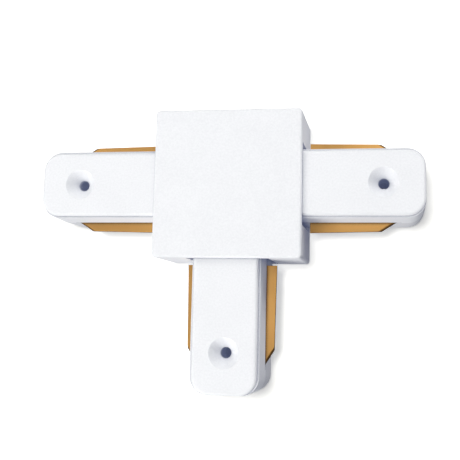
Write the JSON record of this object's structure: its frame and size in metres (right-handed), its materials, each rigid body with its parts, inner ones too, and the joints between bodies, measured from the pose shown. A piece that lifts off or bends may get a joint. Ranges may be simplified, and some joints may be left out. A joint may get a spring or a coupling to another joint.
{
  "type": "lighting track connector",
  "caption": "T-shaped connector for surface lighting track: a square white box with flat tongues, brass contact blades along the sides of each tongue and a countersunk hole near each tip.",
  "frame": {"origin": "centre of the box's base plane, which lies on the ceiling or wall", "axes": "+Z towards the room, X along the two side arms, -Y along the stem"},
  "size_m": [0.0914, 0.0661, 0.021],
  "materials": {
    "white_plastic": "fine satin, moulded",
    "brass": "rolled sheet, lightly brushed",
    "block_plastic": "moulded",
    "screw_steel": "zinc plated"
  },
  "bodies": {
    "root": {"upper_shell": "white_plastic", "lower_shell": "white_plastic", "line_strip": "brass", "neutral_strip": "brass", "stem_blade": "brass", "crossing_strap": "brass", "rivet_line": "brass", "rivet_stem": "brass", "crossing_block": "block_plastic", "screw_front_left": "screw_steel", "screw_back_left": "screw_steel", "screw_front_right": "screw_steel", "screw_back_right": "screw_steel"}
  },
  "joints": []
}
